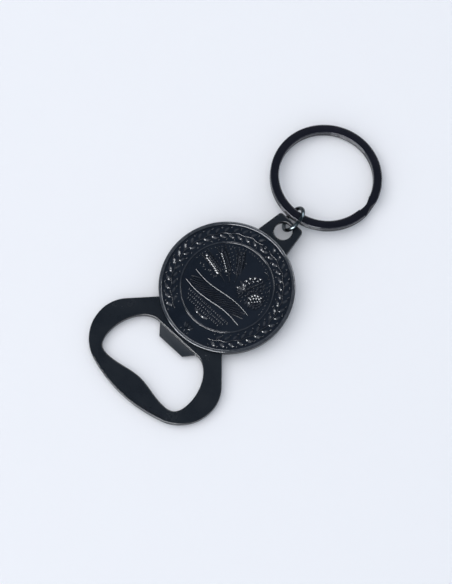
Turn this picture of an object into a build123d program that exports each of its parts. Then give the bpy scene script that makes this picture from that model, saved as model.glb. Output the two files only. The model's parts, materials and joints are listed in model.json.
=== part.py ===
from build123d import *

import os
from math import asin, atan, cos, degrees, radians, sin, sqrt

# Keychain bottle opener: a flat opener plate with a round medallion bonded to its face,
# a jump ring through the plate's tab, and a split key ring on the jump ring.
#
# Units are millimetres and +Z is up. The origin is the centre of the round body on the
# plate's flat back face. The opener head points to -Y and the key ring to +Y, so the
# plate lies in the XY plane and is symmetric about X = 0.

# Opener plate: one flat blank with a round body, a cap-lifting head and a ring tab
plate_thickness = 2.0
body_radius = 19.2
edge_radius = 0.35
arm_length = 14.0
shoulder_radius = 10.8
shoulder_turn = 43.4
corner_radius = 12.2
head_half_width = 21.6
head_widest_y = -29.2
head_end_y = -42.9

# Cap opening: a wide mouth with two rounded lobes and a low bump that sits on the cap
mouth_top_y = -20.2
mouth_top_half = 7.6
mouth_half_width = 15.5
mouth_widest_y = -31.6
mouth_top_handles = (4.2, 5.8)
lobe_x = 10.9
lobe_y = -37.3
lobe_handles = (4.0, 3.3)
bump_y = -35.85
bump_handles = (3.9, 3.6)

# Lifting tongue: a thinner lip that hooks under the cap's skirt
tongue_thickness = 0.8
tongue_base_half = 7.0
tongue_tip_half = 4.45
tongue_tip_y = -23.15

# Ring tab
tab_root = (6.35, 14.0)
tab_end_half = 4.3
tab_end_y = 27.1
tab_corner_radius = 1.0
tab_hole_radius = 2.65
tab_hole_y = 23.35

# Bonding film and medallion
film_radius = 18.8
film_thickness = 0.1
medal_radius = 19.45
medal_height = 1.1
rim_width = 1.1
field_depth = 0.55
band_inner_radius = 13.3
ridge_half_width = 0.3
ridge_height = 0.3

# Jump ring: round wire that leans over sideways and points a little to the left
wire_radius = 0.6
jump_ring_radius = 3.85
jump_ring_centre = (-0.4, 28.05, 1.1)
jump_ring_lean = 35.0
jump_ring_turn = 12.0
jump_gap_angle = 4.0
jump_gap_place = 92.0

# Split ring: two flat turns of one wire, joined by a jog, tipped where it lies on the jump ring
ring_outer_diameter = 32.4
ring_inner_diameter = 27.2
ring_wire_height = 1.2
ring_wire_corner = 0.5
ring_turn_gap = 0.05
ring_tilt = 6.3
ring_centre_x = -2.46
ring_hold_point = (-0.7, 29.25, 1.0)
jog_start = -2.0
jog_arc = 20.0
jog_steps = 8
jog_narrowing = 0.6
end_gap_angle = 1.5

os.makedirs("parts", exist_ok=True)


# Opener plate ---------------------------------------------------------------
# The head's corner arc and its flatter end arc meet with one tangent, on this turn
head_depth = head_widest_y - head_end_y
half_left = degrees(atan((head_depth - corner_radius) / (head_half_width - corner_radius)))
corner_turn = 90 - 2 * half_left
end_radius = corner_radius + (head_half_width - corner_radius) / cos(radians(corner_turn))

with BuildPart() as opener_plate:
    with BuildSketch():
        Circle(body_radius)
        with BuildLine():
            widest = (head_half_width, head_widest_y)
            shoulder = JernArc(widest, (0, 1), shoulder_radius, shoulder_turn)
            arm = Line(shoulder @ 1, shoulder @ 1 + (shoulder % 1) * arm_length)
            Line(arm @ 1, (0, (arm @ 1).Y))
            corner = JernArc(widest, (0, -1), corner_radius, -corner_turn)
            JernArc(corner @ 1, corner % 1, end_radius, corner_turn - 90)
            mirror(about=Plane.YZ)
        make_face()
        with BuildLine():
            Polyline(
                (0, tab_root[1]),
                tab_root,
                (tab_end_half, tab_end_y),
                (0, tab_end_y),
            )
            mirror(about=Plane.YZ)
        make_face()
        with BuildLine():
            Line((0, mouth_top_y), (mouth_top_half, mouth_top_y))
            Bezier(
                (mouth_top_half, mouth_top_y),
                (mouth_top_half + mouth_top_handles[0], mouth_top_y),
                (mouth_half_width, mouth_widest_y + mouth_top_handles[1]),
                (mouth_half_width, mouth_widest_y),
            )
            Bezier(
                (mouth_half_width, mouth_widest_y),
                (mouth_half_width, mouth_widest_y - lobe_handles[0]),
                (lobe_x + lobe_handles[1], lobe_y),
                (lobe_x, lobe_y),
            )
            Bezier(
                (lobe_x, lobe_y),
                (lobe_x - bump_handles[0], lobe_y),
                (bump_handles[1], bump_y),
                (0, bump_y),
            )
            mirror(about=Plane.YZ)
        make_face(mode=Mode.SUBTRACT)
        with Locations((0, tab_hole_y)):
            Circle(tab_hole_radius, mode=Mode.SUBTRACT)
    extrude(amount=plate_thickness)
    tab_corners = opener_plate.edges().filter_by(Axis.Z).group_by(Axis.Y)[-1]
    fillet(tab_corners, tab_corner_radius)
    faces_by_height = opener_plate.faces().filter_by(Plane.XY).sort_by(Axis.Z)
    fillet(faces_by_height[0].edges() + faces_by_height[-1].edges(), edge_radius)
    with BuildSketch():
        with BuildLine():
            Polyline(
                (0, mouth_top_y + 1),
                (tongue_base_half, mouth_top_y + 1),
                (tongue_base_half, mouth_top_y),
                (tongue_tip_half, tongue_tip_y),
                (0, tongue_tip_y),
            )
            mirror(about=Plane.YZ)
        make_face()
    extrude(amount=tongue_thickness)
opener_plate.part.label = "opener_plate"
export_step(opener_plate.part, "parts/opener_plate.step")


# Bonding film: holds the medallion to the plate, and is hidden between them --
with BuildPart() as bonding_film:
    with BuildSketch(Plane.XY.offset(plate_thickness)):
        Circle(film_radius)
    extrude(amount=film_thickness)
bonding_film.part.label = "bonding_film"
export_step(bonding_film.part, "parts/bonding_film.step")


# Medallion: a struck disc with a rounded rim, a sunk field and a raised ring --
medal_base = plate_thickness + film_thickness
medal_top = medal_base + medal_height
field_height = medal_top - field_depth
rim_crest_radius = medal_radius - rim_width / 2
with BuildPart() as medallion:
    with BuildSketch(Plane.XZ):
        with BuildLine():
            Polyline((0, field_height), (0, medal_base), (medal_radius, medal_base))
            Line((medal_radius, medal_base), (medal_radius, medal_top - rim_width / 2))
            JernArc(
                start=(medal_radius, medal_top - rim_width / 2),
                tangent=(0, 1),
                radius=rim_width / 2,
                arc_size=180,
            )
            Line((medal_radius - rim_width, field_height), (0, field_height))
        make_face()
        with BuildLine():
            ThreePointArc(
                (band_inner_radius - ridge_half_width, field_height),
                (band_inner_radius, field_height + ridge_height),
                (band_inner_radius + ridge_half_width, field_height),
            )
            Polyline(
                (band_inner_radius + ridge_half_width, field_height),
                (band_inner_radius + ridge_half_width, medal_base),
                (band_inner_radius - ridge_half_width, medal_base),
                (band_inner_radius - ridge_half_width, field_height),
            )
        make_face()
    revolve(axis=Axis.Z)
medallion.part.label = "medallion"
export_step(medallion.part, "parts/medallion.step")


# Jump ring: its plane holds a level line near the Y direction and leans towards +X --
jump_ring_along = (-sin(radians(jump_ring_turn)), cos(radians(jump_ring_turn)), 0)
jump_ring_normal = (
    cos(radians(jump_ring_lean)) * cos(radians(jump_ring_turn)),
    cos(radians(jump_ring_lean)) * sin(radians(jump_ring_turn)),
    -sin(radians(jump_ring_lean)),
)
jump_ring_plane = Plane(origin=jump_ring_centre, x_dir=jump_ring_along, z_dir=jump_ring_normal)
gap_side = jump_ring_plane.location * Location((0, 0, 0), (0, 0, jump_gap_place + jump_gap_angle / 2))
with BuildPart() as jump_ring:
    with BuildSketch(Plane(gap_side * Location((jump_ring_radius, 0, 0), (90, 0, 0)))):
        Circle(wire_radius)
    revolve(
        axis=Axis(jump_ring_centre, jump_ring_normal),
        revolution_arc=360 - jump_gap_angle,
    )
jump_ring.part.label = "jump_ring"
export_step(jump_ring.part, "parts/jump_ring.step")


# Split ring -----------------------------------------------------------------
ring_radius = (ring_outer_diameter + ring_inner_diameter) / 4
ring_wire_width = (ring_outer_diameter - ring_inner_diameter) / 2
turn_offset = (ring_wire_height + ring_turn_gap) / 2
ring_reach = sqrt(ring_radius**2 - (ring_hold_point[0] - ring_centre_x) ** 2)
ring_centre = (
    ring_centre_x,
    ring_hold_point[1] + ring_reach * cos(radians(ring_tilt)),
    ring_hold_point[2] - ring_reach * sin(radians(ring_tilt)),
)
ring_normal = (0, sin(radians(ring_tilt)), cos(radians(ring_tilt)))
ring_plane = Plane(origin=ring_centre, x_dir=(1, 0, 0), z_dir=ring_normal)
ring_axis = Axis(ring_centre, ring_normal)
turn_arc = 360 - jog_arc - end_gap_angle


def wire_section(angle, height, inset=0.0):
    """The plane across the split ring's wire, at an angle round the ring and a height on its axis."""
    around = ring_plane.location * Location((0, 0, 0), (0, 0, angle))
    return Plane(around * Location((ring_radius - inset, 0, height), (90, 0, 0)))


with BuildPart() as split_ring:
    with BuildSketch(wire_section(jog_start, -turn_offset)):
        RectangleRounded(ring_wire_width, ring_wire_height, ring_wire_corner)
    revolve(axis=ring_axis, revolution_arc=-turn_arc)
    with BuildSketch(wire_section(jog_start + jog_arc, turn_offset)):
        RectangleRounded(ring_wire_width, ring_wire_height, ring_wire_corner)
    revolve(axis=ring_axis, revolution_arc=turn_arc)
    for step in range(jog_steps + 1):
        share = step / jog_steps
        rise = turn_offset * (2 * share * share * (3 - 2 * share) - 1)
        narrowing = jog_narrowing * sin(radians(180 * share)) ** 2
        with BuildSketch(wire_section(jog_start + jog_arc * share, rise, narrowing / 2)):
            RectangleRounded(ring_wire_width - narrowing, ring_wire_height, ring_wire_corner)
    loft()
split_ring.part.label = "split_ring"
export_step(split_ring.part, "parts/split_ring.step")

# Places that the joints and mounts are set out from
print("split ring centre", [round(value, 3) for value in ring_centre])
print("split ring axis", [round(value, 5) for value in ring_normal])
hold_turn = asin((ring_hold_point[0] - ring_centre_x) / ring_radius)
hold_axis = (
    cos(hold_turn),
    sin(hold_turn) * cos(radians(ring_tilt)),
    -sin(hold_turn) * sin(radians(ring_tilt)),
)
print("split ring hinge axis", [round(value, 5) for value in hold_axis])
print("hinge axis turned in plan", round(degrees(hold_turn), 2))
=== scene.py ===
# %% [markdown]
# # A keychain bottle opener
#
# The object is a flat black opener with a struck medallion on its face. A jump ring links
# the opener's tab to a split key ring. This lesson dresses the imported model: the frame fixes
# where every part is, and Blender adds the struck relief, the wire shapes and the coatings.

# %% Load the fixed frame
import json
import math

import bmesh
import bpy
from mathutils import Matrix, Vector


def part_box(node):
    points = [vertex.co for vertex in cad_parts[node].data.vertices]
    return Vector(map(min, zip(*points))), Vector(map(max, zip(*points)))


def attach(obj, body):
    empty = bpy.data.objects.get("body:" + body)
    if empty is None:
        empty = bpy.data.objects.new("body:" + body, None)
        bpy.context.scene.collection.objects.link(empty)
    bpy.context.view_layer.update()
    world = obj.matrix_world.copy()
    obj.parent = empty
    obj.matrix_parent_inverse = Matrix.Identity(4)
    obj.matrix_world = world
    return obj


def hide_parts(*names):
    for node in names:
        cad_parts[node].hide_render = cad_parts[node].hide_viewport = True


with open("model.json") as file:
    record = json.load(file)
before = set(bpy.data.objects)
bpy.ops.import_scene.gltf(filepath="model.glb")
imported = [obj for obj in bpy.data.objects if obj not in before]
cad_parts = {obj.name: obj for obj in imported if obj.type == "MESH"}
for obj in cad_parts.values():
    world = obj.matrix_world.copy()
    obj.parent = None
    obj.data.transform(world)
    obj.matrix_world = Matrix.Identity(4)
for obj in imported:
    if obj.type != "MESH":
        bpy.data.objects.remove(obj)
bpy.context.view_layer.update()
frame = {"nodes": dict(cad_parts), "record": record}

MM = 0.001
plate_low, plate_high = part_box("opener_plate")
medal_low, medal_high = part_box("medallion")
jump_low, jump_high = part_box("jump_ring")
print("nodes", sorted(frame["nodes"]))

# %% [markdown]
# ## Camera first
#
# The opener lies on a table and is seen from above and a little from the front, with the key
# ring running away to the upper right. A long lens a metre away keeps the perspective weak,
# as product pictures have it. The camera aims near the middle of the medallion.

# %% Camera
view_azimuth = math.radians(43.5)
view_elevation = math.radians(74.2)
view_distance = 1.0
aim_point = Vector((0.68 * MM, -1.09 * MM, plate_high.z))
towards_camera = Vector(
    (
        math.sin(view_azimuth) * math.cos(view_elevation),
        -math.cos(view_azimuth) * math.cos(view_elevation),
        math.sin(view_elevation),
    )
)
camera_data = bpy.data.cameras.new("table_camera")
camera_data.lens = 217.0
camera_data.sensor_width = 36.0
camera_data.clip_start = 0.01
camera = bpy.data.objects.new("table_camera", camera_data)
camera.location = aim_point + towards_camera * view_distance
camera.rotation_euler = (-towards_camera).to_track_quat("-Z", "Y").to_euler()
bpy.context.scene.collection.objects.link(camera)
bpy.context.scene.camera = camera
print("camera at, mm", [round(c / MM, 1) for c in camera.location])

# %% [markdown]
# ## The table
#
# The jump ring hangs below the plate, so the opener rests on the edge of its head and on the
# jump ring, and the table slopes by two degrees in the plate's own frame. The slope is worked
# out from those two places, and one large sheet stands for the table.

# %% Sloping table
def link_object(name, mesh):
    thing = bpy.data.objects.new(name, mesh)
    bpy.context.scene.collection.objects.link(thing)
    return thing


def mesh_from(bm, name, crease=35.0):
    """Writes a bmesh into a new mesh, smooth except where faces meet at over crease degrees."""
    mesh = bpy.data.meshes.new(name)
    bm.to_mesh(mesh)
    bm.free()
    mesh.shade_smooth()
    mesh.set_sharp_from_angle(angle=math.radians(crease))
    return mesh


jump_middle_y = (jump_low.y + jump_high.y) / 2
table_slope = math.atan(-jump_low.z / (jump_middle_y - plate_low.y))
table_bm = bmesh.new()
bmesh.ops.create_grid(table_bm, x_segments=1, y_segments=1, size=3.0)
tilt = Matrix.Rotation(-table_slope, 3, "X")
bmesh.ops.rotate(table_bm, verts=table_bm.verts, cent=(0, 0, 0), matrix=tilt)
rest_edge = Vector((0, plate_low.y, plate_low.z - 0.02 * MM))
bmesh.ops.translate(table_bm, verts=table_bm.verts, vec=rest_edge)
table = link_object("table", mesh_from(table_bm, "table"))
print("table slope, degrees", round(math.degrees(table_slope), 2))

# %% [markdown]
# ## Studio light
#
# Black gloss shows only what it reflects, so what it may reflect is kept apart from what
# lights the table. A large panel overhead gives the table its even light and soft shadows,
# and is hidden from reflections. The sky is dim. Long, low panels, a strong one on the near
# side and a weaker one on the far side, draw the bright lines on the rims, wires and relief,
# and a faint one above the near panel lights the gentler slopes.

# %% World and panels
def make_world(zenith, horizon, strength):
    world = bpy.data.worlds.new("studio")
    world.use_nodes = True
    tree = world.node_tree
    background = tree.nodes["Background"]
    place = tree.nodes.new("ShaderNodeTexCoord")
    split = tree.nodes.new("ShaderNodeSeparateXYZ")
    ramp = tree.nodes.new("ShaderNodeValToRGB")
    ramp.color_ramp.elements[0].position = 0.62
    ramp.color_ramp.elements[0].color = (*horizon, 1)
    ramp.color_ramp.elements[1].position = 0.9
    ramp.color_ramp.elements[1].color = (*zenith, 1)
    tree.links.new(place.outputs["Generated"], split.inputs[0])
    tree.links.new(split.outputs["Z"], ramp.inputs[0])
    tree.links.new(ramp.outputs[0], background.inputs["Color"])
    background.inputs["Strength"].default_value = strength
    bpy.context.scene.world = world


def soft_panel(name, direction, distance, size, power, color=(1, 1, 1)):
    """A rectangular area light, placed along direction from the aim point."""
    light = bpy.data.lights.new(name, "AREA")
    light.shape = "RECTANGLE"
    light.size, light.size_y = size
    light.energy = power
    light.color = color
    panel = bpy.data.objects.new(name, light)
    away = Vector(direction).normalized()
    panel.location = aim_point + away * distance
    panel.rotation_euler = (-away).to_track_quat("-Z", "Y").to_euler()
    bpy.context.scene.collection.objects.link(panel)
    return panel


make_world(zenith=(0.22, 0.262, 0.325), horizon=(0.50, 0.54, 0.61), strength=1.0)
top_panel = soft_panel("top_panel", (-0.3, -0.15, 1.0), 1.5, (2.4, 2.4), 23.4, (1.0, 0.968, 0.94))
top_panel.visible_glossy = False
for name, direction, size, power in (
    ("far_panel", (-0.1, 1.0, 0.62), (1.3, 0.3), 18.0),
    ("near_panel", (0.1, -1.0, 0.45), (1.3, 0.35), 54.0),
    ("upper_panel", (0.2, -1.0, 1.25), (1.2, 0.35), 3.0),
):
    glint = soft_panel(name, direction, 1.0, size, power, (0.97, 0.98, 1.0))
    glint.visible_diffuse = False
bpy.context.scene.view_settings.view_transform = "Standard"

# %% [markdown]
# ## Surface effects that the coatings share
#
# A sprayed or plated coating is never quite smooth. Four small node groups hold what the
# finishes share: a fine grain, which lifts the surface a few microns; handling marks, soft
# patches where the gloss changes; specks of dust; and wear with a painted highlight, which
# turns the colour towards a lighter, metallic grey where a piece's mesh attribute is high,
# partly for rubbed metal and partly to paint in bright lines on corners and tops. Each finish
# gives them its own scale and strength.

# %% Grain, handling, dust, and wear-and-highlight groups
def new_group(name, inputs, outputs):
    group = bpy.data.node_groups.new(name, "ShaderNodeTree")
    for label, value in inputs:
        socket = group.interface.new_socket(label, in_out="INPUT", socket_type="NodeSocketFloat")
        socket.default_value = value
    for label in outputs:
        group.interface.new_socket(label, in_out="OUTPUT", socket_type="NodeSocketFloat")
    entry = group.nodes.new("NodeGroupInput")
    leave = group.nodes.new("NodeGroupOutput")
    place = group.nodes.new("ShaderNodeTexCoord")
    return group, entry, leave, place


def noise(tree, place, scale_from, detail, roughness=0.55):
    node = tree.nodes.new("ShaderNodeTexNoise")
    node.inputs["Detail"].default_value = detail
    node.inputs["Roughness"].default_value = roughness
    tree.links.new(place.outputs["Object"], node.inputs["Vector"])
    tree.links.new(scale_from, node.inputs["Scale"])
    return node.outputs["Fac"]


def remap(tree, value, low, high, new_low, new_high):
    node = tree.nodes.new("ShaderNodeMapRange")
    tree.links.new(value, node.inputs["Value"])
    labels = ("From Min", "From Max", "To Min", "To Max")
    for label, setting in zip(labels, (low, high, new_low, new_high)):
        if isinstance(setting, float):
            node.inputs[label].default_value = setting
        else:
            tree.links.new(setting, node.inputs[label])
    return node.outputs["Result"]


def product(tree, first, second):
    node = tree.nodes.new("ShaderNodeMath")
    node.operation = "MULTIPLY"
    tree.links.new(first, node.inputs[0])
    tree.links.new(second, node.inputs[1])
    return node.outputs[0]


def make_grain_group():
    group, entry, leave, place = new_group("coating_grain", [("Scale", 4000.0)], ["Height"])
    fine = noise(group, place, entry.outputs["Scale"], 3.0)
    group.links.new(fine, leave.inputs["Height"])
    return group


def make_handling_group():
    group, entry, leave, place = new_group(
        "handling_marks", [("Scale", 120.0), ("Low", 0.3), ("High", 0.45)], ["Roughness", "Mask"]
    )
    patches = noise(group, place, entry.outputs["Scale"], 4.0, 0.6)
    mask = remap(group, patches, 0.35, 0.65, 0.0, 1.0)
    spread = remap(group, mask, 0.0, 1.0, entry.outputs["Low"], entry.outputs["High"])
    group.links.new(spread, leave.inputs["Roughness"])
    group.links.new(mask, leave.inputs["Mask"])
    return group


def make_dust_group():
    """Sparse pale specks: the middles of a few cells, thinned out by a coarser noise."""
    group, entry, leave, place = new_group("dust_specks", [("Scale", 400.0)], ["Mask"])
    cells = group.nodes.new("ShaderNodeTexVoronoi")
    group.links.new(place.outputs["Object"], cells.inputs["Vector"])
    group.links.new(entry.outputs["Scale"], cells.inputs["Scale"])
    middles = remap(group, cells.outputs["Distance"], 0.04, 0.09, 1.0, 0.0)
    chooser = group.nodes.new("ShaderNodeSeparateColor")
    group.links.new(cells.outputs["Color"], chooser.inputs["Color"])
    chosen = remap(group, chooser.outputs["Red"], 0.90, 0.92, 0.0, 1.0)
    group.links.new(product(group, middles, chosen), leave.inputs["Mask"])
    return group


def make_wear_and_highlight_group():
    """Where a piece's own wear_and_highlight_amount attribute is high, broken up by noise: a lighter,
    metallic colour shows, partly bare metal and partly a painted highlight.
    """
    group, entry, leave, place = new_group(
        "edge_wear_and_highlight", [("Scale", 900.0), ("Amount", 0.6)], ["Mask"]
    )
    painted = group.nodes.new("ShaderNodeAttribute")
    painted.attribute_name = "wear_and_highlight_amount"
    breakup_noise = noise(group, place, entry.outputs["Scale"], 3.0)
    patches = remap(group, breakup_noise, 0.3, 0.6, 0.35, 1.0)
    wear_and_highlight_mask = product(group, painted.outputs["Fac"], patches)
    group.links.new(product(group, wear_and_highlight_mask, entry.outputs["Amount"]), leave.inputs["Mask"])
    return group


grain_group = make_grain_group()
handling_group = make_handling_group()
dust_group = make_dust_group()
wear_and_highlight_group = make_wear_and_highlight_group()
print("groups", [g.name for g in (grain_group, handling_group, dust_group, wear_and_highlight_group)])

# %% [markdown]
# ## The black finishes
#
# The plate has a satin coating, the medallion and the split ring glossier ones, and the jump
# ring is plated, so it reflects as metal. All four come from one recipe: two slightly
# different darks that drift across the surface, patches in the roughness and grain in the
# bump. Dust is added where the piece needs it. The medallion and the split ring also get a
# lighter, metallic colour on their tops and corners, partly wear and partly a painted
# highlight. The pale paper of the table follows the same recipe with coarser marks.

# %% Coating recipe
dust_grey = (0.22, 0.23, 0.25)
# A lighter metal grey: bare metal where worn, and also a painted highlight on tops and corners.
bare_metal_and_highlight = (0.30, 0.32, 0.35)


def use_group(tree, group, **settings):
    node = tree.nodes.new("ShaderNodeGroup")
    node.node_tree = group
    for label, value in settings.items():
        node.inputs[label].default_value = value
    return node


def mix_color(tree, mask, first, second):
    """Mixes two colours by a mask; either may be a socket or a plain colour."""
    node = tree.nodes.new("ShaderNodeMix")
    node.data_type = "RGBA"
    tree.links.new(mask, node.inputs["Factor"])
    for label, color in (("A", first), ("B", second)):
        if isinstance(color, tuple):
            node.inputs[label].default_value = (*color, 1)
        else:
            tree.links.new(color, node.inputs[label])
    return node.outputs["Result"]


def coating(
    name, dark, light, roughness, grain, metallic=0.0, specular=0.5, dust=0.0, wear_and_highlight=0.0, marks_scale=140.0
):
    """A finish whose colour and gloss drift a little, with a fine grain as (scale, depth in mm)."""
    material = bpy.data.materials.new(name)
    material.use_nodes = True
    tree = material.node_tree
    shader = tree.nodes["Principled BSDF"]
    marks = use_group(tree, handling_group, Scale=marks_scale, Low=roughness[0], High=roughness[1])
    skin = use_group(tree, grain_group, Scale=grain[0])
    color = mix_color(tree, marks.outputs["Mask"], dark, light)
    if dust:
        specks = use_group(tree, dust_group, Scale=dust)
        color = mix_color(tree, specks.outputs["Mask"], color, dust_grey)
    # Wear and painted highlight: the colour turns lighter and metallic where the piece's attribute says.
    if wear_and_highlight:
        bare_and_highlight = use_group(tree, wear_and_highlight_group, Amount=wear_and_highlight)
        color = mix_color(tree, bare_and_highlight.outputs["Mask"], color, bare_metal_and_highlight)
        tree.links.new(bare_and_highlight.outputs["Mask"], shader.inputs["Metallic"])
    else:
        shader.inputs["Metallic"].default_value = metallic
    bump = tree.nodes.new("ShaderNodeBump")
    bump.inputs["Distance"].default_value = grain[1] * MM
    tree.links.new(color, shader.inputs["Base Color"])
    tree.links.new(marks.outputs["Roughness"], shader.inputs["Roughness"])
    tree.links.new(skin.outputs["Height"], bump.inputs["Height"])
    tree.links.new(bump.outputs["Normal"], shader.inputs["Normal"])
    shader.inputs["Specular IOR Level"].default_value = specular
    return material


# %% The four finishes and the table's
plate_black = coating(
    "plate_satin_black", (0.0045, 0.0075, 0.012), (0.007, 0.0105, 0.0155), (0.20, 0.28),
    (5000.0, 0.004), specular=0.32, dust=420.0,
)
medal_black = coating(
    "medal_gloss_black", (0.003, 0.006, 0.012), (0.006, 0.010, 0.018), (0.10, 0.18),
    (2600.0, 0.006), specular=0.32, wear_and_highlight=0.16,
)
jump_gunmetal = coating(
    "jump_gunmetal", (0.035, 0.046, 0.052), (0.055, 0.068, 0.075), (0.10, 0.16),
    (2500.0, 0.002), metallic=1.0,
)
split_black = coating(
    "split_black_nickel", (0.003, 0.0035, 0.008), (0.005, 0.005, 0.011), (0.08, 0.15),
    (3000.0, 0.0015), specular=0.32, dust=420.0, wear_and_highlight=0.22,
)
table_paper = coating(
    "table_paper", (0.855, 0.87, 0.90), (0.865, 0.88, 0.91), (0.86, 0.94),
    (1500.0, 0.01), marks_scale=18.0,
)
table.data.materials.append(table_paper)
finishes = (plate_black, medal_black, jump_gunmetal, split_black, table_paper)
print("finishes", [finish.name for finish in finishes])

# %% [markdown]
# ## The opener plate
#
# The blank is one flat stamping with rounded edges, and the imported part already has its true
# outline. Its triangles are loose, so a copy is merged, shaded smooth and given weighted
# normals: the broad faces then stay flat and the small edge rounds catch one clean light.

# %% Opener plate
plate_bm = bmesh.new()
plate_bm.from_mesh(frame["nodes"]["opener_plate"].data)
bmesh.ops.remove_doubles(plate_bm, verts=plate_bm.verts, dist=0.0005 * MM)
plate = link_object("opener_blank", mesh_from(plate_bm, "opener_blank"))
flat = plate.modifiers.new("flat_faces", "WEIGHTED_NORMAL")
flat.keep_sharp = True
plate.data.materials.clear()
plate.data.materials.append(plate_black)
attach(plate, "opener")
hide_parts("opener_plate")
print("plate faces", len(plate.data.polygons))

# %% [markdown]
# ## The tongue's brushed lip
#
# The lifting tongue is thinned from the same blank, and its face keeps fine machining lines
# along its tip. The lines are a wave in the bump, and a mask made of three limits on the
# object's own coordinates keeps them on the tongue's low face, so the rest stays satin.

# %% Tongue lines
def compare(tree, value, limit, above):
    node = tree.nodes.new("ShaderNodeMath")
    node.operation = "GREATER_THAN" if above else "LESS_THAN"
    tree.links.new(value, node.inputs[0])
    node.inputs[1].default_value = limit
    return node.outputs[0]


def add_tongue_lines(material):
    tree = material.node_tree
    shader = tree.nodes["Principled BSDF"]
    place = tree.nodes.new("ShaderNodeTexCoord")
    axes = tree.nodes.new("ShaderNodeSeparateXYZ")
    tree.links.new(place.outputs["Object"], axes.inputs[0])
    low = compare(tree, axes.outputs["Z"], 0.9 * MM, above=False)
    lifted = compare(tree, axes.outputs["Z"], 0.7 * MM, above=True)
    behind = compare(tree, axes.outputs["Y"], -23.3 * MM, above=True)
    mask = product(tree, product(tree, low, lifted), behind)
    wave = tree.nodes.new("ShaderNodeTexWave")
    wave.bands_direction = "Y"
    wave.inputs["Scale"].default_value = 1100.0
    wave.inputs["Distortion"].default_value = 0.6
    tree.links.new(place.outputs["Object"], wave.inputs["Vector"])
    lines = tree.nodes.new("ShaderNodeBump")
    lines.inputs["Distance"].default_value = 0.003 * MM
    tree.links.new(product(tree, wave.outputs["Fac"], mask), lines.inputs["Height"])
    under = shader.inputs["Normal"].links[0].from_socket
    tree.links.new(under, lines.inputs["Normal"])
    tree.links.new(lines.outputs["Normal"], shader.inputs["Normal"])
    coat = shader.inputs["Base Color"].links[0].from_socket
    paler = mix_color(tree, mask, coat, (0.012, 0.017, 0.024))
    tree.links.new(paler, shader.inputs["Base Color"])


add_tongue_lines(plate_black)

# %% [markdown]
# ## The medallion's blank
#
# A struck medal starts as a turned disc. Its half profile has a flat back, a straight wall, a
# round rim, a sunk field and one raised ring, and a full spin about the upright axis makes
# the disc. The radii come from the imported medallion's box.

# %% Medallion disc
medal_radius = medal_high.x
medal_base = medal_low.z
medal_top = medal_high.z
rim_width = 1.1 * MM
field_depth = 0.55 * MM
field_z = medal_top - field_depth
ridge_radius = 13.3 * MM
ridge_half_width = 0.30 * MM
ridge_height = 0.28 * MM
back_chamfer = 0.12 * MM
spin_steps = 192


def half_round(centre, half_width, height, steps):
    """An arch over the field in the profile, from its inner foot to its outer one."""
    turns = [math.pi * (1 - step / steps) for step in range(steps + 1)]
    return [(centre + half_width * math.cos(t), field_z + height * math.sin(t)) for t in turns]


def disc_profile():
    """The half profile as (radius, height) pairs, from the field's centre round to the back."""
    points = [(0.0, field_z), (4.0 * MM, field_z), (9.0 * MM, field_z)]
    points += half_round(ridge_radius, ridge_half_width, ridge_height, 8)
    points.append((16.0 * MM, field_z))
    points += half_round(medal_radius - rim_width / 2, rim_width / 2, field_depth, 12)
    points.append((medal_radius, medal_base + back_chamfer))
    points.append((medal_radius - back_chamfer, medal_base))
    points.append((0.0, medal_base))
    return points


medal_bm = bmesh.new()
row = [medal_bm.verts.new((r, 0, z)) for r, z in disc_profile()]
edges = [medal_bm.edges.new(pair) for pair in zip(row, row[1:])]
bmesh.ops.spin(
    medal_bm,
    geom=row + edges,
    cent=(0, 0, 0),
    axis=(0, 0, 1),
    angle=math.tau,
    steps=spin_steps,
    use_merge=True,
)
bmesh.ops.remove_doubles(medal_bm, verts=medal_bm.verts, dist=0.0005 * MM)
print("disc faces", len(medal_bm.faces))

# %% [markdown]
# ## The relief
#
# The face carries plain brewer's ornament: a wreath of leaves and berries round the border,
# and hops, barley, a rope and rows of beads in the middle. Every motif is made of strokes and
# beads, sunk a little into the field, so the light finds real edges. A stroke is one section
# extruded along a path; a leaf is a stroke that swells in the middle and has a rib. It could
# be painted as a bump, but that would have no edges from the side and be lost in the mesh.

# %% Strokes and beads
def sweep(bm, rings):
    """Extrudes a first section through the others, one ring of corners at a time, and caps it."""
    tube = bmesh.new()
    cap = tube.faces.new([tube.verts.new(corner) for corner in rings[0]])
    open_end = list(cap.edges)
    for ring in rings[1:]:
        cap = bmesh.ops.extrude_discrete_faces(tube, faces=[cap])["faces"][0]
        for vert, corner in zip(cap.verts, ring):
            vert.co = corner
    bmesh.ops.holes_fill(tube, edges=open_end, sides=0)
    swept = bpy.data.meshes.new("swept")
    tube.to_mesh(swept)
    tube.free()
    bm.from_mesh(swept)
    bpy.data.meshes.remove(swept)


# Stroke sections as (across, up), each from -1 to 1; the feet reach under the field
ROUND = ((-1.0, -0.3), (-0.85, 0.3), (-0.45, 0.84), (0.0, 1.0), (0.45, 0.84), (0.85, 0.3), (1.0, -0.3))
ROOF = ((-1.0, -0.3), (-0.92, 0.28), (0.0, 1.0), (0.92, 0.28), (1.0, -0.3))


def stroke(path, width, height=0.36, section=ROUND, swell=0.35):
    """A raised stroke along a path in millimetres. Swell 1 makes an oval, 0 keeps it even."""
    path = [Vector(point) for point in path]
    rings = []
    for index, point in enumerate(path):
        ahead = path[min(index + 1, len(path) - 1)] - path[max(index - 1, 0)]
        along = ahead.normalized()
        across = Vector((-along.y, along.x))
        share = index / (len(path) - 1)
        fat = (1 - swell) + swell * math.sin(math.pi * (0.04 + 0.92 * share))
        tall = 0.55 + 0.45 * math.sin(math.pi * (0.1 + 0.8 * share))
        ring = []
        for side, up in section:
            spot = point + across * (side * fat * width / 2)
            ring.append((spot.x * MM, spot.y * MM, field_z + up * height * tall * MM))
        rings.append(ring)
    sweep(medal_bm, rings)


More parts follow.
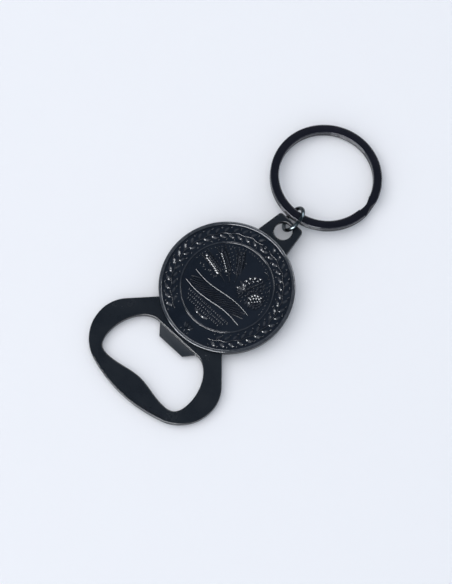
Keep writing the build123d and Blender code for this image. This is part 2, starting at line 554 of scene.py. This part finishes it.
def curve_path(start, heading, length, bend=0.0, steps=8):
    """Points from start along a heading in degrees, turning by bend degrees over its length."""
    points = [Vector(start)]
    for step in range(steps):
        angle = math.radians(heading + bend * (step + 0.5) / steps)
        points.append(points[-1] + Vector((math.cos(angle), math.sin(angle))) * (length / steps))
    return points


def leaf(start, heading, length, width, bend=0.0, height=0.34):
    stroke(curve_path(start, heading, length, bend), width, height, ROOF, swell=0.93)


def bead(x, y, radius, height=0.8, subdivisions=2):
    made = bmesh.ops.create_icosphere(medal_bm, subdivisions=subdivisions, radius=radius * MM)
    ball = made["verts"]
    bmesh.ops.scale(medal_bm, vec=(1, 1, height), verts=ball)
    bmesh.ops.translate(medal_bm, vec=(x * MM, y * MM, field_z), verts=ball)


def polar(radius, degrees_round):
    angle = math.radians(degrees_round)
    return Vector((radius * math.cos(angle), radius * math.sin(angle)))


# %% [markdown]
# ### Border wreath
#
# Two branches start beside the gap at the bottom and meet at the top. Each step has a leaf to
# the rim, a leaf to the ridge and two berries, on a thin stem.

# %% Border wreath
border_middle = 16.0
bottom = -90
branch_start = 27
branch_steps = 17
step_angle = 8.9
leaf_stagger = 4.4
leaf_spread = 62
leaf_bend = 44
for side in (-1, 1):
    stem = [
        polar(border_middle + 0.2 * math.sin(k * 1.3), bottom + side * (branch_start - 3 + 3.1 * k))
        for k in range(50)
    ]
    stroke(stem, 0.42, 0.3)
    for k in range(branch_steps):
        turn = bottom + side * (branch_start + step_angle * k)
        heading = turn + side * 90
        outer_leaf = polar(border_middle + 0.1, turn)
        inner_leaf = polar(border_middle - 0.1, turn + side * leaf_stagger)
        leaf(outer_leaf, heading - side * leaf_spread, 2.5, 0.95, bend=side * leaf_bend)
        leaf(inner_leaf, heading + side * leaf_spread, 2.3, 0.9, bend=-side * leaf_bend)
        bead(*polar(17.75, turn - side * 1.4), 0.27)
        bead(*polar(14.25, turn + side * 2.8), 0.24)
bead(*polar(border_middle, -bottom), 0.5)
for side in (-1, 1):
    leaf((side * 0.35, -16.9), 90 - side * 52, 2.2, 0.8, bend=side * 40)
    leaf((side * 0.25, -16.9), 90 - side * 12, 2.0, 0.7)
    bead(side * 1.2, -17.5, 0.3)
bead(0.0, -17.5, 0.36)
print("wreath faces so far", len(medal_bm.faces))

# %% [markdown]
# ### Hops and barley
#
# A hop cone is rows of short overlapping scales that narrow upwards. A barley ear is a stem
# with pairs of grains, each with a thin bristle.

# %% Hops and barley
def hop_cone(x, y, lean, height, width):
    """Overlapping scales, laid row by row from the tip down, so that each covers the next."""
    along = polar(1, lean)
    across = Vector((-along.y, along.x))
    rows = 9
    for k in range(rows):
        share = k / (rows - 1)
        half = width / 2 * math.sin(math.pi * (0.12 + 0.70 * (1 - share)))
        for place in (-1, 0, 1) if k % 2 == 0 else (-0.55, 0.55):
            spot = Vector((x, y)) + along * (height * share) + across * (place * half)
            leaf(spot, lean + 180 - place * 38, 1.35, 0.85, height=0.42)


def barley_ear(start, lean, pairs, reach, bend=0.0):
    stem = curve_path(start, lean, reach, bend, steps=12)
    stroke(stem, 0.34, 0.36)
    for k in range(pairs):
        point = stem[4 + round(8 * k / pairs)]
        heading = lean + bend * (0.4 + 0.6 * k / pairs)
        for side in (-1, 1):
            spot = point + polar(0.2, heading + side * 90)
            leaf(spot, heading + side * 32, 1.4, 0.72, bend=-side * 20)
            bristle = curve_path(spot + polar(1.3, heading + side * 22), heading + side * 16, 1.9)
            stroke(bristle, 0.16, 0.24)
    leaf(stem[-1], lean + bend, 1.5, 0.72)


barley_ear((-0.4, 1.5), 136, 8, 9.0, bend=18)
barley_ear((-1.4, 0.6), 158, 8, 8.8, bend=14)
barley_ear((0.8, 2.0), 108, 8, 8.4, bend=22)
hop_cone(4.6, 3.6, 66, 5.0, 4.0)
hop_cone(8.2, 1.6, 48, 3.2, 2.9)
for heading, length in ((150, 3.2), (190, 2.8), (232, 2.6)):
    leaf((4.4, 2.8), heading, length, 1.0, bend=20)
for heading, length in ((-40, 2.6), (-80, 2.0)):
    leaf((7.0, 1.4), heading, length, 0.9, bend=-20)
stroke(curve_path((4.4, 2.8), -70, 3.4, bend=-50), 0.34)
stroke(curve_path((6.7, 8.6), 60, 3.6, bend=150, steps=12), 0.28)
for k in range(9):
    bead(-10.4 + 0.75 * k + 0.2 * math.sin(k * 2.1), 0.1 + 0.35 * math.sin(k * 1.7), 0.26)
for k in range(38):
    bead(*polar(12.2, 2 + 4.75 * k), 0.2)

# %% [markdown]
# ### Rope and beaded lines
#
# A twisted rope waves across the middle: two thin edges with slanting strands between them.
# Three rows of beads and a small spray finish the lower part.

# %% Rope and beads
rope_top = -2.1
rope_bottom = -6.1
rope_half_length = 10.0
strand_spacing = 1.32
strand_step = 0.74


def wave(x, base, height=0.55, length=10.5):
    return base + height * math.sin(x / length * math.pi)


for base in (rope_top, rope_bottom):
    along = [-rope_half_length + 0.5 * k for k in range(41)]
    stroke([(x, wave(x, base)) for x in along], 0.5, 0.34)
for k in range(15):
    strand = []
    for n in range(9):
        x = -12.6 + strand_spacing * k + strand_step * n
        if abs(x) < rope_half_length - 0.3:
            strand.append((x, wave(x, rope_bottom + 0.38) + 0.4 * n + 0.1 * math.sin(n)))
    stroke(strand, 0.46, 0.34, ROOF, swell=0.4)
for row_y, half in ((-7.7, 7.4), (-8.8, 6.6), (-9.9, 5.8)):
    count = round(2 * half / 0.75)
    for k in range(count + 1):
        bead(-half + 2 * half * k / count, row_y, 0.29)
for side in (-1, 1):
    leaf((side * 0.4, -11.2), 90 - side * 82, 2.4, 0.9, bend=side * 26)
bead(0.0, -11.2, 0.32)

# %% [markdown]
# ### Stippled ground
#
# Engravers fill an empty ground with punched dots, so that the motifs stand out and the metal
# sparkles. The dots are set on a sunflower spiral, which spaces them evenly without rows, and
# only in two patches of the middle. There are many, so each is a coarse bead of twenty faces.

# %% Stippled ground
golden_turn = 137.5
dots = 0
for k in range(420):
    spot = polar(0.6 * math.sqrt(k), golden_turn * k)
    in_left_patch = (spot - Vector((-4.6, 6.6))).length < 4.6
    in_right_patch = (spot - Vector((6.4, 3.6))).length < 4.8
    if spot.length < 12.0 and spot.y > -0.6 and (in_left_patch or in_right_patch):
        bead(spot.x, spot.y, 0.25, height=1.0, subdivisions=1)
        dots += 1
print("dots", dots)

# %% [markdown]
# ### Worn and highlighted heights
#
# The medal's highest points get a lighter, metallic colour, partly wear and partly a painted
# highlight on the relief tops. Each vertex gets a number that grows with its height over the
# field, and the wear-and-highlight group reads it as an attribute.

# %% Finish the medallion
wear_and_highlight_full_height = 0.3 * MM
wear_and_highlight_start = 0.5


def paint_wear_and_highlight(bm, amount_at):
    """Writes each vertex's wear-and-highlight amount, from 0 to 1, where the edge_wear_and_highlight
    group reads it.
    """
    layer = bm.verts.layers.float.new("wear_and_highlight_amount")
    for vert in bm.verts:
        vert[layer] = min(1.0, max(0.0, amount_at(vert.co)))


# The highest relief gets the lighter colour: wear together with a painted highlight.
paint_wear_and_highlight(medal_bm, lambda spot: (spot.z - field_z) / wear_and_highlight_full_height - wear_and_highlight_start)
bmesh.ops.recalc_face_normals(medal_bm, faces=medal_bm.faces)
medal = link_object("medallion_relief", mesh_from(medal_bm, "medallion_relief", crease=42.0))
medal.data.materials.append(medal_black)
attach(medal, "opener")
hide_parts("medallion")
print("medallion faces", len(medal.data.polygons))

# %% [markdown]
# ## The jump ring
#
# The jump ring is bent from round wire, and its two cut ends never quite meet: one stands a
# little to the side of the other. The centre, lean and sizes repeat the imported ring's. A
# round section is extruded along the circle, drifting sideways near the cut, and both ends
# are bevelled. A plain spin would be shorter, but its two ends would meet face to face.

# %% Jump ring
jump_centre = Vector((-0.4, 28.05, 1.1)) * MM
jump_radius = 3.85 * MM
wire_radius = 0.6 * MM
jump_lean = math.radians(35.0)
jump_turn = math.radians(12.0)
end_drift = 0.14 * MM
drift_share = 0.2
jump_along = Vector((-math.sin(jump_turn), math.cos(jump_turn), 0))
jump_normal = Vector(
    (
        math.cos(jump_lean) * math.cos(jump_turn),
        math.cos(jump_lean) * math.sin(jump_turn),
        -math.sin(jump_lean),
    )
)
jump_up = jump_normal.cross(jump_along)


def wire_rings(from_angle, to_angle, steps, wire_sides=20):
    """Round sections along the jump ring, drifting sideways over the last part at each end."""
    rings = []
    for step in range(steps + 1):
        share = step / steps
        angle = math.radians(from_angle + (to_angle - from_angle) * share)
        outward = jump_along * math.cos(angle) + jump_up * math.sin(angle)
        last = max(0.0, share - 1 + drift_share) / drift_share
        first = max(0.0, drift_share - share) / drift_share
        aside = jump_normal * ((last**2 - first**2) * end_drift)
        middle = jump_centre + outward * (jump_radius - 0.03 * MM) + aside
        ring = []
        for side in range(wire_sides):
            around = math.tau * side / wire_sides
            offset = outward * math.cos(around) + jump_normal * math.sin(around)
            ring.append(middle + offset * (wire_radius - 0.02 * MM))
        rings.append(ring)
    return rings


cut_place = 98.0
half_cut = 1.6
jump_bm = bmesh.new()
sweep(jump_bm, wire_rings(cut_place + half_cut, cut_place + 360 - half_cut, 96))
ends = [f for f in jump_bm.faces if len(f.verts) > 4]
bmesh.ops.bevel(
    jump_bm, geom=[e for f in ends for e in f.edges], offset=0.1 * MM, segments=2,
    profile=0.5, affect="EDGES", material=-1,
)
bmesh.ops.recalc_face_normals(jump_bm, faces=jump_bm.faces)
jump = link_object("jump_wire", mesh_from(jump_bm, "jump_wire"))
jump.data.materials.append(jump_gunmetal)
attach(jump, "jump_ring")
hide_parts("jump_ring")
print("jump ring faces", len(jump.data.polygons))

# %% [markdown]
# ## The split ring
#
# The split ring is one flat wire in two turns. It starts on the lower turn, climbs through a
# short jog, where the wire is squeezed narrower and its top edge is pressed down, and runs on
# over itself on the upper turn. A rounded rectangle is extruded along that path, so both
# turns and the step are real. The record's key ring mount gives the centre and the axis.

# %% Split ring
key_mount = next(m for m in frame["record"]["mounts"] if m["name"] == "key_ring")
ring_centre = Vector(key_mount["pos_m"])
ring_axis = Vector(key_mount["axis"]).normalized()
ring_along = Vector((1, 0, 0))
ring_across = ring_axis.cross(ring_along)
ring_radius = 14.9 * MM
wire_width = 2.6 * MM
wire_height = 1.2 * MM
turn_offset = 0.625 * MM
wire_corner = 0.26 * MM
slim = 0.05 * MM
jog_start, jog_arc, end_gap = -2.0, 20.0, 1.5
jog_squeeze = 0.5 * MM
lower_end_peek = 0.16 * MM
peek_arc = 5.0


def flat_section(width, height, corner, steps=4):
    """A rounded rectangle as (outward, up) offsets."""
    points = []
    for quarter, (sx, sy) in enumerate(((1, 1), (-1, 1), (-1, -1), (1, -1))):
        for step in range(steps + 1):
            angle = math.pi / 2 * (quarter + step / steps)
            points.append(
                (
                    sx * (width / 2 - corner) + corner * math.cos(angle),
                    sy * (height / 2 - corner) + corner * math.sin(angle),
                )
            )
    return points


def split_rings(step_degrees=2.0):
    turn_arc = 360 - jog_arc - end_gap
    start = jog_start - turn_arc
    total = 2 * turn_arc + jog_arc
    count = round(total / step_degrees)
    rings = []
    for step in range(count + 1):
        degrees_on = start + total * step / count
        share = min(1.0, max(0.0, (degrees_on - jog_start) / jog_arc))
        rise = turn_offset * (2 * share * share * (3 - 2 * share) - 1)
        squeeze = jog_squeeze * math.sin(math.pi * share) ** 2
        peek = lower_end_peek * max(0.0, 1 - (degrees_on - start) / peek_arc) ** 2
        outward = ring_along * math.cos(math.radians(degrees_on))
        outward += ring_across * math.sin(math.radians(degrees_on))
        middle = ring_centre + outward * (ring_radius + 0.15 * squeeze - peek) + ring_axis * rise
        ring = []
        for out, up in flat_section(wire_width - squeeze - slim, wire_height - slim, wire_corner):
            pressed = squeeze if out > 0 and up > 0 else 0.0
            ring.append(middle + outward * (out - pressed) + ring_axis * up)
        rings.append(ring)
    return rings


def corner_wear_and_highlight(spot):
    """1 on the wire's four rounded corners and 0 on its flats and walls."""
    offset = spot - ring_centre
    up = offset.dot(ring_axis)
    out = (offset - ring_axis * up).length - ring_radius
    near_edge = 0.75 * wire_corner
    on_side = abs(out) > wire_width / 2 - near_edge
    on_top = abs(abs(up) - turn_offset) > wire_height / 2 - near_edge
    return 1.0 if on_side and on_top else 0.0


split_bm = bmesh.new()
sweep(split_bm, split_rings())
# The four corners get the lighter colour: wear together with a painted highlight.
paint_wear_and_highlight(split_bm, corner_wear_and_highlight)
bmesh.ops.recalc_face_normals(split_bm, faces=split_bm.faces)
split = link_object("split_wire", mesh_from(split_bm, "split_wire", crease=50.0))
split.data.materials.append(split_black)
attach(split, "split_ring")
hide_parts("split_ring")
print("split ring faces", len(split.data.polygons))

# %% [markdown]
# ## The bonding film
#
# The film is hidden between plate and medal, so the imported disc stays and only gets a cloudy
# glue finish.

# %% Bonding film
film_glue = bpy.data.materials.new("film_glue")
film_glue.use_nodes = True
film_tree = film_glue.node_tree
film_shader = film_tree.nodes["Principled BSDF"]
film_marks = use_group(film_tree, handling_group, Scale=300.0, Low=0.3, High=0.6)
film_color = mix_color(film_tree, film_marks.outputs["Mask"], (0.52, 0.52, 0.50), (0.66, 0.66, 0.62))
film_tree.links.new(film_color, film_shader.inputs["Base Color"])
film_tree.links.new(film_marks.outputs["Roughness"], film_shader.inputs["Roughness"])
film = frame["nodes"]["bonding_film"]
film.data.materials.clear()
film.data.materials.append(film_glue)
